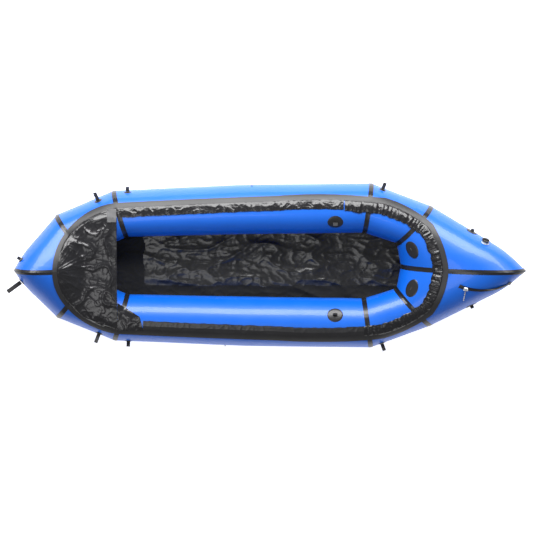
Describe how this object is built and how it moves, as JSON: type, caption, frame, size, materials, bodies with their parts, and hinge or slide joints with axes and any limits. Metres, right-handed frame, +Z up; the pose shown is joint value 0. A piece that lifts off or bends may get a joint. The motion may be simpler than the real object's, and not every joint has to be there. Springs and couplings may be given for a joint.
{
  "type": "inflatable kayak",
  "caption": "Two-person inflatable kayak of the packraft kind: welded tubes, upturned ends, black floor and bow deck, stern cargo zip, valve and webbing tie-down loops.",
  "frame": {"origin": "centre of the footprint, on the ground under the flat middle of the floor", "axes": "+X towards the stern, +Y to starboard, +Z up"},
  "size_m": [2.8722, 0.9594, 0.4226],
  "materials": {
    "hull_fabric": "glossy polyurethane-coated nylon, royal blue",
    "seam_tape": "glossy coated tape, black",
    "rim_tape": "satin coated tape, dark grey",
    "floor_fabric": "glossy coated nylon, black",
    "deck_fabric": "glossy coated nylon, black",
    "tab_fabric": "matt loop tape, light grey",
    "webbing": "woven webbing, black",
    "patch_fabric": "glossy coated nylon, black",
    "stub_plastic": "matt black",
    "zip_tape": "glossy coated tape, black",
    "zip_teeth": "satin black",
    "zip_docks": "smooth black",
    "zip_slider": "satin metal",
    "zip_pull": "matt dark grey",
    "valve_base": "glossy blue",
    "valve_body": "clear grey plastic",
    "valve_diaphragm": "matt black",
    "valve_cap": "smooth black",
    "valve_tether": "clear soft plastic"
  },
  "bodies": {
    "hull": {"bow_deck": "deck_fabric", "deck_edge_band": "deck_fabric", "deck_gusset": "deck_fabric", "floor": "floor_fabric", "floor_tape": "seam_tape", "hull_bow_port": "hull_fabric", "hull_bow_quarter_port": "hull_fabric", "hull_bow_quarter_starboard": "hull_fabric", "hull_bow_starboard": "hull_fabric", "hull_side_port": "hull_fabric", "hull_side_starboard": "hull_fabric", "hull_stern_port": "hull_fabric", "hull_stern_quarter_port": "hull_fabric", "hull_stern_quarter_starboard": "hull_fabric", "hull_stern_starboard": "hull_fabric", "patches_bow": "patch_fabric", "patches_seat": "patch_fabric", "patches_sides": "patch_fabric", "patches_stern": "patch_fabric", "rim_tape": "rim_tape", "seam_tape_bow": "seam_tape", "seam_tape_bow_corner_port": "seam_tape", "seam_tape_bow_corner_starboard": "seam_tape", "seam_tape_bow_quarter_port": "seam_tape", "seam_tape_bow_quarter_starboard": "seam_tape", "seam_tape_stern": "seam_tape", "seam_tape_stern_corner_port": "seam_tape", "seam_tape_stern_corner_starboard": "seam_tape", "seam_tape_stern_quarter_port": "seam_tape", "seam_tape_stern_quarter_starboard": "seam_tape", "side_stubs": "stub_plastic", "skirt_port": "deck_fabric", "skirt_starboard": "deck_fabric", "skirt_stern": "deck_fabric", "valve_base": "valve_base", "valve_body": "valve_body", "valve_diaphragm": "valve_diaphragm", "valve_tether": "valve_tether", "zip_docks": "zip_docks", "zip_tape": "zip_tape", "zip_teeth": "zip_teeth"},
    "loop_bow_starboard": {"loop_bow_starboard": "webbing"},
    "loop_bow_port": {"loop_bow_port": "webbing"},
    "loop_bow_quarter_starboard": {"loop_bow_quarter_starboard": "webbing"},
    "loop_bow_quarter_port": {"loop_bow_quarter_port": "webbing"},
    "loop_side_starboard": {"loop_side_starboard": "webbing"},
    "loop_side_port": {"loop_side_port": "webbing"},
    "loop_stern_quarter_starboard": {"loop_stern_quarter_starboard": "webbing"},
    "loop_stern_quarter_port": {"loop_stern_quarter_port": "webbing"},
    "loop_stern_starboard": {"loop_stern_starboard": "webbing"},
    "loop_stern_port": {"loop_stern_port": "webbing"},
    "loop_seat_starboard": {"loop_seat_starboard": "webbing"},
    "loop_seat_port": {"loop_seat_port": "webbing"},
    "loop_backrest_starboard": {"loop_backrest_starboard": "webbing"},
    "loop_backrest_port": {"loop_backrest_port": "webbing"},
    "zip_slider": {"zip_slider": "zip_slider"},
    "zip_pull": {"zip_pull": "zip_pull"},
    "valve_cap": {"valve_cap": "valve_cap"},
    "deck_tab": {"deck_tab": "tab_fabric"}
  },
  "joints": [
    {"name": "bow_starboard_swing", "type": "hinge", "parent": "hull", "child": "loop_bow_starboard", "pos_m": [-1.39591, 0.06473, 0.3319], "axis": [0.6072, 0.7933, 0.0444], "range_deg": [-85, 85]},
    {"name": "bow_port_swing", "type": "hinge", "parent": "hull", "child": "loop_bow_port", "pos_m": [-1.39606, -0.06977, 0.32149], "axis": [0.5783, -0.8147, 0.0435], "range_deg": [-85, 85]},
    {"name": "bow_quarter_starboard_swing", "type": "hinge", "parent": "hull", "child": "loop_bow_quarter_starboard", "pos_m": [-0.96597, 0.3811, 0.21458], "axis": [0.9443, 0.2962, 0.1433], "range_deg": [-85, 85]},
    {"name": "bow_quarter_port_swing", "type": "hinge", "parent": "hull", "child": "loop_bow_quarter_port", "pos_m": [-0.96597, -0.3811, 0.21458], "axis": [0.9443, -0.2962, 0.1433], "range_deg": [-85, 85]},
    {"name": "side_starboard_swing", "type": "hinge", "parent": "hull", "child": "loop_side_starboard", "pos_m": [-0.80024, 0.42792, 0.19176], "axis": [0.9992, 0.0385, 0.0118], "range_deg": [-85, 85]},
    {"name": "side_port_swing", "type": "hinge", "parent": "hull", "child": "loop_side_port", "pos_m": [-0.80024, -0.42792, 0.19176], "axis": [0.9992, -0.0385, 0.0118], "range_deg": [-85, 85]},
    {"name": "stern_quarter_starboard_swing", "type": "hinge", "parent": "hull", "child": "loop_stern_quarter_starboard", "pos_m": [0.62897, 0.44159, 0.19177], "axis": [0.9447, -0.3116, -0.1025], "range_deg": [-85, 85]},
    {"name": "stern_quarter_port_swing", "type": "hinge", "parent": "hull", "child": "loop_stern_quarter_port", "pos_m": [0.62897, -0.44159, 0.19177], "axis": [0.9447, 0.3116, -0.1025], "range_deg": [-85, 85]},
    {"name": "stern_starboard_swing", "type": "hinge", "parent": "hull", "child": "loop_stern_starboard", "pos_m": [1.11849, 0.19345, 0.25938], "axis": [0.909, -0.4166, 0.0063], "range_deg": [-85, 40]},
    {"name": "stern_port_swing", "type": "hinge", "parent": "hull", "child": "loop_stern_port", "pos_m": [1.11849, -0.19345, 0.25938], "axis": [0.909, 0.4166, 0.0063], "range_deg": [-40, 85]},
    {"name": "seat_starboard_swing", "type": "hinge", "parent": "hull", "child": "loop_seat_starboard", "pos_m": [0.362, 0.25929, 0.27435], "axis": [1, 0.0002, -0.0005], "range_deg": [-85, 85]},
    {"name": "seat_port_swing", "type": "hinge", "parent": "hull", "child": "loop_seat_port", "pos_m": [0.362, -0.25929, 0.27435], "axis": [1, -0.0002, -0.0005], "range_deg": [-85, 85]},
    {"name": "backrest_starboard_swing", "type": "hinge", "parent": "hull", "child": "loop_backrest_starboard", "pos_m": [0.80029, 0.12053, 0.26649], "axis": [0.6645, -0.7262, -0.1762], "range_deg": [-85, 85]},
    {"name": "backrest_port_swing", "type": "hinge", "parent": "hull", "child": "loop_backrest_port", "pos_m": [0.80029, -0.12053, 0.26649], "axis": [0.6645, 0.7262, -0.1762], "range_deg": [-85, 85]},
    {"name": "zip_slide", "type": "slide", "parent": "hull", "child": "zip_slider", "axis": [0.9896, -0.143, -0.0141], "range_m": [0, 0.082]},
    {"name": "zip_pull_swing", "type": "hinge", "parent": "zip_slider", "child": "zip_pull", "pos_m": [1.08471, -0.11241, 0.37536], "axis": [-0.9896, 0.143, 0.0141], "range_deg": [0, 80]},
    {"name": "valve_cap_turn", "type": "hinge", "parent": "hull", "child": "valve_cap", "pos_m": [1.19787, 0.16504, 0.31971], "axis": [0.2878, 0.8799, 0.378], "range_deg": [0, 270]},
    {"name": "deck_tab_lift", "type": "hinge", "parent": "hull", "child": "deck_tab", "pos_m": [-0.911, 0.303, 0.3025], "axis": [0, -0.9816, 0.1908], "range_deg": [0, 120]}
  ]
}
